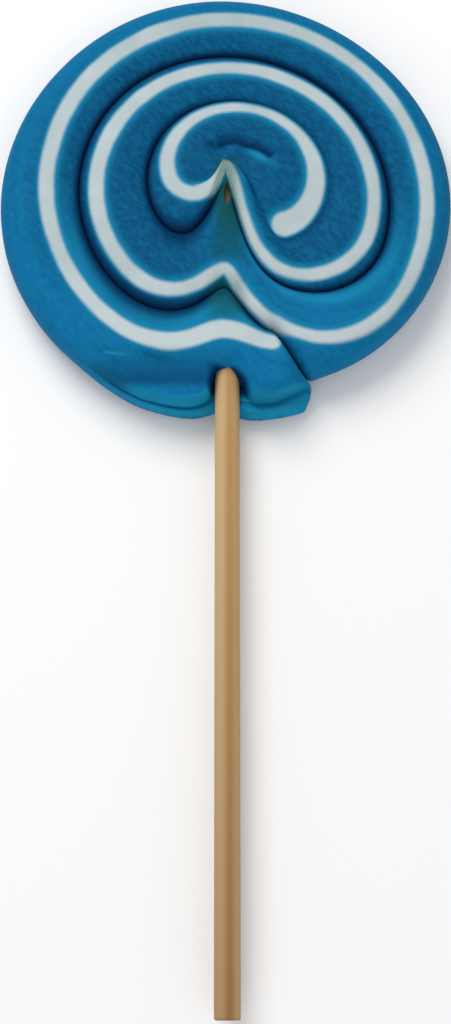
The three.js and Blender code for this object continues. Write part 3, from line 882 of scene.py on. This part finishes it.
class LollipopStick(bpy.types.PropertyGroup):
    radius: FloatProperty(
        name="Radius", description="Radius of the stick", default=2.2 * MM, unit="LENGTH"
    )
    tip: FloatProperty(
        name="Tip",
        description="Where the stick ends inside the candy",
        default=6.5 * MM,
        unit="LENGTH",
    )
    end: FloatProperty(
        name="End", description="Where the free end lies", default=-145.3 * MM, unit="LENGTH"
    )
    rounding: FloatProperty(
        name="Rounding", description="Rounding of the ends", default=0.45 * MM, unit="LENGTH"
    )
    wood_near: FloatVectorProperty(
        name="Wood",
        description="Colour near the candy",
        subtype="COLOR",
        default=(0.540, 0.325, 0.118),
    )
    wood_far: FloatVectorProperty(
        name="Wood, far",
        description="Colour near the free end",
        subtype="COLOR",
        default=(0.275, 0.130, 0.040),
    )
    wood_grain: FloatVectorProperty(
        name="Grain",
        description="Colour of the dark grain",
        subtype="COLOR",
        default=(0.280, 0.140, 0.050),
    )
    # Also the painted sheen on the stick's lit sides.
    light_grain_and_sheen: FloatVectorProperty(
        name="Light grain",
        description="Colour of the light grain",
        subtype="COLOR",
        default=(0.600, 0.430, 0.230),
    )
    wood_edge: FloatVectorProperty(
        name="Cut edge",
        description="Colour of the cut end's edge",
        subtype="COLOR",
        default=(0.22, 0.13, 0.07),
    )


class LollipopStage(bpy.types.PropertyGroup):
    elevation: FloatProperty(
        name="Elevation",
        description="Camera's angle above the floor",
        default=math.radians(74),
        subtype="ANGLE",
    )
    distance: FloatProperty(
        name="Distance",
        description="Camera to the middle of the view",
        default=314 * MM,
        unit="LENGTH",
    )
    lens: FloatProperty(name="Lens", description="Focal length in millimetres", default=62.93)
    key: FloatProperty(name="Key light", description="Power of the main light", default=3.0)
    soft: FloatProperty(name="Soft light", description="Power of the light from below", default=1.5)
    sky: FloatProperty(name="Sky", description="Strength of the light all round", default=0.48)
    floor: FloatVectorProperty(
        name="Floor", description="Colour of the floor", subtype="COLOR", default=(0.93, 0.93, 0.93)
    )


# ---- Helpers --------------------------------------------------------------------------------------


def only(obj):
    """Makes obj the one selected and active object."""
    bpy.ops.object.select_all(action="DESELECT")
    obj.select_set(True)
    bpy.context.view_layer.objects.active = obj


def grid(name, columns, rows):
    """A flat grid of columns by rows faces, with the column and row number of each vertex."""
    bpy.ops.object.select_all(action="DESELECT")
    bpy.ops.mesh.primitive_grid_add(x_subdivisions=columns, y_subdivisions=rows, size=2)
    obj = bpy.context.object
    obj.name = name
    obj.data.name = name
    co = np.zeros(len(obj.data.vertices) * 3)
    obj.data.vertices.foreach_get("co", co)
    co = co.reshape(-1, 3)
    i = np.rint((co[:, 0] + 1) / 2 * columns).astype(int)
    j = np.rint((co[:, 1] + 1) / 2 * rows).astype(int)
    return obj, i, j


def set_points(obj, x, y, z):
    """Moves the vertices; plan positions are from the disc's centre, in millimetres."""
    points = np.column_stack((x, y - POLE_Y, z)) * MM
    obj.data.vertices.foreach_set("co", points.ravel())
    obj.data.update()


def set_field(obj, name, values):
    field = obj.data.attributes.new(name, "FLOAT", "POINT")
    field.data.foreach_set("value", np.asarray(values, np.float32))


def set_rope_map(obj, lengthwise, across):
    """UV map in millimetres along and across the rope."""
    corner = np.zeros(len(obj.data.loops), int)
    obj.data.loops.foreach_get("vertex_index", corner)
    layer = obj.data.uv_layers[0]
    layer.name = "rope"
    layer.data.foreach_set("uv", np.column_stack((lengthwise[corner], across[corner])).ravel())


def rope_strip(name, coil, columns, rows, shares, front, crown):
    """A strip of one face of the rope. shares gives, from column numbers and the share of the
    strip's rows, the share across the rope."""
    first, last = columns
    obj, i, j = grid(name, last - first, rows)
    i = i + first
    t = shares(i, j / rows)
    x, y = coil.plan(i, t)
    set_points(obj, x, y, coil.height(i, t, front, crown))
    dress(obj, coil, i, t, front)
    return obj


def rope_wall(name, coil, columns, edge, crown):
    """The upright wall between the two candies along one edge of the white layer."""
    first, last = columns
    obj, i, j = grid(name, last - first, WALL_ROWS)
    i = i + first
    t = edge[i]
    x, y = coil.plan(i, t)
    top, bottom = coil.height(i, t, True, crown), coil.height(i, t, False, crown)
    set_points(obj, x, y, mix(top, bottom, j / WALL_ROWS))
    dress(obj, coil, i, t, False)
    return obj


def groove_shade(angle, away, more=1.0):
    """Distance from the groove outside a column for the shade painted in it: less where it is broad."""
    first, last = SEAM_DEEPENS
    seam = 1 - smooth((angle - START_ANGLE - first) / (last - first))
    broad = 1 + more * sum(by * hump(angle, at, over) for at, over, by in BROAD_GROOVES)
    least, rise = SEAM_SHADE
    return mix(away / broad, least + rise * away, seam)


def groove_field(coil, i, t):
    """Distance from the grooves on both sides of the rope, for the shade painted in them."""
    x, y = coil.plan(i, t)
    angle = coil.angle[i]
    width = coil.outer[i] - coil.inner[i]
    wound = angle - TURN > START_ANGLE
    to_inner = np.where(wound, groove_shade(angle - TURN, t * width, INNER_BREADTH), NO_GROOVE)
    least, fade, over = NOTCH_SHADE
    notch_x, notch_y = coil.plan(COLUMNS - COLUMNS_PER_TURN, 1.0)
    to_notch = np.hypot(x - notch_x, y - notch_y) + least
    near_notch = fade * smooth((angle - NOTCH_ANGLE) / over + 1)
    to_outer = np.where(angle > NOTCH_ANGLE, to_notch, groove_shade(angle, (1 - t) * width) + near_notch)
    return np.minimum(to_inner, to_outer)


def face_shades(x, y, past, foot, lip):
    """Distances from what gets painted shade on the shown face beside its grooves: the foot's crease, the
    faint crease, the creases round the middle, the dusk and the stick's mouth.
    """
    left, right, start, over = FOOT_SHADE
    on_foot, on_body = FOOT_SHADE_RISE
    crease = mix(left, right, smooth((x - start) / over)) + np.where(past > 0, on_foot, -on_body) * past
    yield crease + on_foot * (1 - foot)
    least, rise, ends = TAIL_SHADE
    away, held = tail_crease(x, y)
    yield least + rise * np.abs(away) + ends * (1 - held)
    for middle_crease in MIDDLE_CREASES:
        yield arc_shade(x, y, *middle_crease[:4])
    middle_x, middle_y, wide, high = DUSK
    least, rise = DUSK_SHADE
    yield least + rise * (((x - middle_x) / wide) ** 2 + ((y - middle_y) / high) ** 2)
    yield mouth_shade(x, y) + NO_GROOVE * lip


def dress(obj, coil, i, t, front):
    """Gives a strip the fields and the map that the candy's colour reads, among them where shade and light
    are painted.
    """
    x, y = coil.plan(i, t)
    angle = coil.angle[i]
    width = coil.outer[i] - coil.inner[i]
    foot = foot_share(angle) * front
    past = (t - 1 + foot_width(angle, width)) * width
    # lip is painted light on the foot, which also keeps the mouth's painted shade off it.
    lip = foot * smooth(past / LIP_OVER - 0.5)
    # Painted shade: distance from the grooves, the creases and the stick's mouth.
    groove = groove_field(coil, i, t)
    if front:
        for shade in face_shades(x, y, past, foot, lip):
            groove = np.minimum(groove, shade)
    set_field(obj, "groove", groove)

    half, top = PEAK
    over_peak = hump(x, 0, half) * smooth(top - y)
    strength, start, over = PEAK_VEIL
    reach = stripe_reach(angle, x, y)
    set_field(obj, "stripe", reach + front * strength * over_peak * smooth((y - start) / over))
    set_field(obj, "thin", thinness(x, y) * front)
    set_field(obj, "bare", slot_share(x, y) * front)

    # Painted light: on the foot, before its crease, on the knuckle and along the lower side's outer turn.
    start, over = LOWER
    low = smooth((start - y) / over)
    start, over = OUTER_TURN
    outer_turn = low * smooth((angle - start) / over)
    before, over, strength = EDGE_LIGHT
    edge = strength * foot * hump(past, -before, over)
    away, over, strength = SHOULDER
    shoulder = strength * outer_turn * hump(t * width, away, over)
    set_field(obj, "light", np.maximum.reduce((lip, edge, knuckle_light(x, y), shoulder)))
    # Brighter blue toward the rim, which on the lower side's outer turn is painted light.
    start, over, above, below = RIM_LIGHT
    beyond = smooth((np.hypot(x, y) - start) / over)
    set_field(obj, "outer", np.maximum(beyond * mix(above, 1, low), below * outer_turn))

    inward, outward = GLOW
    glow = hump(np.maximum(reach, 0), 0, np.where(t < coil.low[i], inward, outward))
    start, over = PEAK_GLOW
    set_field(obj, "glow", glow * (1 - over_peak * smooth((y - start) / over)))
    set_rope_map(obj, coil.length[i], t * width)


def joined(name, strips):
    """Joins strips into one closed piece; what is left open is filled with one face."""
    only(strips[0])
    for strip in strips[1:]:
        strip.select_set(True)
    bpy.ops.object.join()
    obj = bpy.context.object
    obj.name = name
    obj.data.name = name
    bpy.ops.object.mode_set(mode="EDIT")
    bpy.ops.mesh.select_mode(type="VERT")
    bpy.ops.mesh.select_all(action="SELECT")
    bpy.ops.mesh.remove_doubles(threshold=MERGE_DISTANCE)
    bpy.ops.mesh.select_all(action="DESELECT")
    bpy.ops.mesh.select_non_manifold(
        extend=False, use_wire=False, use_multi_face=False, use_non_contiguous=False
    )
    bpy.ops.mesh.edge_face_add()
    bpy.ops.mesh.quads_convert_to_tris()
    bpy.ops.mesh.select_all(action="SELECT")
    bpy.ops.mesh.normals_make_consistent(inside=False)
    bpy.ops.object.mode_set(mode="OBJECT")
    bpy.ops.object.shade_smooth_by_angle(angle=math.radians(55))
    return obj


def finish_piece(obj, material, node):
    obj.data.materials.clear()
    obj.data.materials.append(material)
    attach(obj, "root")
    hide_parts(node)


# ---- Operators ------------------------------------------------------------------------------------


class OBJECT_OT_lollipop_blue(bpy.types.Operator):
    """Add the coiled rope of blue candy"""

    bl_idname = "object.lollipop_blue"
    bl_label = "Blue rope"

    def execute(self, context):
        look = context.scene.lollipop_candy
        crown = look.crown / MM
        coil = Coil()
        whole = (0, COLUMNS)
        walled = (coil.white[0] - 1, coil.white[-1] + 1)
        quarter = np.pi / 2
        wound = smooth(coil.inner / CROWDED_IN)

        def inside(i, s):
            return coil.low[i] * mix(s, 1 - np.cos(quarter * s), wound[i])

        def outside(i, s):
            angle = coil.angle[i]
            to_groove, to_foot = CROWDED_OUT
            even = mix(coil.high[i], 1, mix(s, np.sin(quarter * s), to_groove))
            crease = 1 - foot_width(angle, coil.outer[i] - coil.inner[i])
            above = s / FOOT_ROWS
            before = mix(coil.high[i], crease, mix(above, np.sin(quarter * above), to_foot))
            after = mix(crease, 1, (s - FOOT_ROWS) / (1 - FOOT_ROWS))
            return mix(even, np.where(s <= FOOT_ROWS, before, after), foot_share(angle))

        strips = []
        for front, (near, _, far) in ((True, FRONT_ROWS), (False, BACK_ROWS)):
            strips.append(rope_strip("inside", coil, whole, near, inside, front, crown))
            strips.append(rope_strip("outside", coil, whole, far, outside, front, crown))
        for edge in (coil.low, coil.high):
            strips.append(rope_wall("wall", coil, walled, edge, crown))
        rope = joined("blue_rope", strips)
        finish_piece(rope, candy_material("blue_candy", look), "blue_candy")
        return {"FINISHED"}


class OBJECT_OT_lollipop_white(bpy.types.Operator):
    """Add the white layer that runs through the rope"""

    bl_idname = "object.lollipop_white"
    bl_label = "White layer"

    def execute(self, context):
        look = context.scene.lollipop_candy
        crown = look.crown / MM
        coil = Coil()
        columns = (coil.white[0] - 1, coil.white[-1] + 1)

        def across(i, s):
            return mix(coil.low[i], coil.high[i], s)

        strips = [
            rope_strip("band", coil, columns, rows, across, front, crown)
            for front, (_, rows, _) in ((True, FRONT_ROWS), (False, BACK_ROWS))
        ]
        for edge in (coil.low, coil.high):
            strips.append(rope_wall("wall", coil, columns, edge, crown))
        layer = joined("white_layer", strips)
        finish_piece(layer, candy_material("white_candy", look), "white_candy")
        return {"FINISHED"}


class OBJECT_OT_lollipop_stick(bpy.types.Operator):
    """Add the round wooden stick"""

    bl_idname = "object.lollipop_stick"
    bl_label = "Stick"

    def execute(self, context):
        look = context.scene.lollipop_stick
        tip, end = look.tip - POLE_Y * MM, look.end - POLE_Y * MM
        bpy.ops.object.select_all(action="DESELECT")
        bpy.ops.mesh.primitive_cylinder_add(
            vertices=STICK_SIDES,
            radius=look.radius,
            depth=tip - end,
            location=(0, (tip + end) / 2, STICK_Z * MM),
            rotation=(math.pi / 2, 0, 0),
        )
        stick = bpy.context.object
        stick.name = "stick_wood"
        stick.data.name = "stick_wood"
        bpy.ops.object.transform_apply(location=True, rotation=True, scale=True)
        bpy.ops.object.mode_set(mode="EDIT")
        bpy.ops.mesh.select_mode(type="FACE")
        bpy.ops.mesh.select_all(action="DESELECT")
        bpy.ops.object.mode_set(mode="OBJECT")
        for face in stick.data.polygons:
            face.select = abs(face.normal.y) > 0.9
        bpy.ops.object.mode_set(mode="EDIT")
        bpy.ops.mesh.region_to_loop()
        bpy.ops.mesh.bevel(
            offset=look.rounding, segments=ROUNDING_STEPS, affect="EDGES", clamp_overlap=True
        )
        bpy.ops.mesh.select_all(action="SELECT")
        bpy.ops.mesh.normals_make_consistent(inside=False)
        bpy.ops.object.mode_set(mode="OBJECT")
        bpy.ops.object.shade_smooth_by_angle(angle=math.radians(40))
        count = len(stick.data.vertices)
        points = np.zeros(count * 3)
        stick.data.vertices.foreach_get("co", points)
        x, y, z = points.reshape(-1, 3).T
        start, over = WOOD_DARKENS
        down = np.clip((start * MM - y) / (over * MM), 0, 1)
        # Painted sheen on the stick's lit sides, lighter on the left.
        steep, shift, less, right = WOOD_SIDES
        lean = steep * x / look.radius - shift
        set_field(stick, "side", smooth(-lean) * (1 - less * down) + right * smooth(lean))
        set_field(stick, "down", down)
        height, fade = WOOD_CUT
        near_end = smooth((end + height * MM - y) / (fade * MM))
        steep, shift = WOOD_RING
        out = np.hypot(x, z - STICK_Z * MM) / look.radius
        set_field(stick, "edge", near_end * smooth(steep * out - shift))
        finish_piece(stick, wood_material("stick_wood", look), "stick")
        return {"FINISHED"}


class OBJECT_OT_lollipop_stage(bpy.types.Operator):
    """Add the floor, the light and the camera"""

    bl_idname = "object.lollipop_stage"
    bl_label = "Stage"

    def execute(self, context):
        look = context.scene.lollipop_stage
        bpy.ops.object.select_all(action="DESELECT")
        bpy.ops.mesh.primitive_plane_add(size=6, location=(0, 0, 0))
        floor = bpy.context.object
        floor.name = "floor"
        bpy.ops.object.transform_apply(location=True, rotation=True, scale=True)
        floor.data.materials.append(floor_material("floor", look))
        middle = Vector(VIEW_MIDDLE) * MM
        for name, where, size, power in (
            ("key_light", KEY_LIGHT, 0.45, look.key),
            ("soft_light", SOFT_LIGHT, 0.9, look.soft),
        ):
            bpy.ops.object.light_add(type="AREA", location=Vector(where) * MM)
            light = bpy.context.object
            light.name = name
            light.data.shape = "DISK"
            light.data.size = size
            light.data.energy = power
            toward = Vector(LIT_MIDDLE) * MM - light.location
            light.rotation_euler = toward.to_track_quat("-Z", "Y").to_euler()
        world = bpy.data.worlds.new("studio")
        world.use_nodes = True
        world.node_tree.nodes["Background"].inputs["Color"].default_value = (1.0, 1.0, 1.0, 1.0)
        world.node_tree.nodes["Background"].inputs["Strength"].default_value = look.sky
        context.scene.world = world
        context.scene.view_settings.view_transform = "Standard"
        back = Vector((0, -math.cos(look.elevation), math.sin(look.elevation))) * look.distance
        bpy.ops.object.camera_add(location=middle + back)
        camera = bpy.context.object
        camera.name = "camera"
        camera.data.lens = look.lens
        camera.rotation_euler = (-back).to_track_quat("-Z", "Y").to_euler()
        context.scene.camera = camera
        return {"FINISHED"}


class VIEW3D_PT_lollipop(bpy.types.Panel):
    """Sizes, colours and pieces of the lollipop"""

    bl_label = "Swirl lollipop"
    bl_idname = "VIEW3D_PT_lollipop"
    bl_space_type = "VIEW_3D"
    bl_region_type = "UI"
    bl_category = "Lollipop"

    def draw(self, context):
        for title, group in SETTINGS.items():
            look = getattr(context.scene, title)
            box = self.layout.box()
            for name in group.__annotations__:
                box.prop(look, name)
        for operator in PIECES:
            self.layout.operator(operator.bl_idname)


SETTINGS = {
    "lollipop_candy": LollipopCandy,
    "lollipop_stick": LollipopStick,
    "lollipop_stage": LollipopStage,
}
PIECES = (
    OBJECT_OT_lollipop_blue,
    OBJECT_OT_lollipop_white,
    OBJECT_OT_lollipop_stick,
    OBJECT_OT_lollipop_stage,
)
CLASSES = (*SETTINGS.values(), *PIECES, VIEW3D_PT_lollipop)


def register():
    for cls in CLASSES:
        bpy.utils.register_class(cls)
    for name, group in SETTINGS.items():
        setattr(bpy.types.Scene, name, PointerProperty(type=group))


def unregister():
    for name in SETTINGS:
        delattr(bpy.types.Scene, name)
    for cls in reversed(CLASSES):
        bpy.utils.unregister_class(cls)


def plain(bounds):
    """Bounds as nested lists of numbers."""
    return [list(map(float, corner)) for corner in bounds]


def main():
    register()
    bpy.ops.object.lollipop_blue()
    bpy.ops.object.lollipop_white()
    bpy.ops.object.lollipop_stick()
    bpy.ops.object.lollipop_stage()


if __name__ == "__main__":
    main()
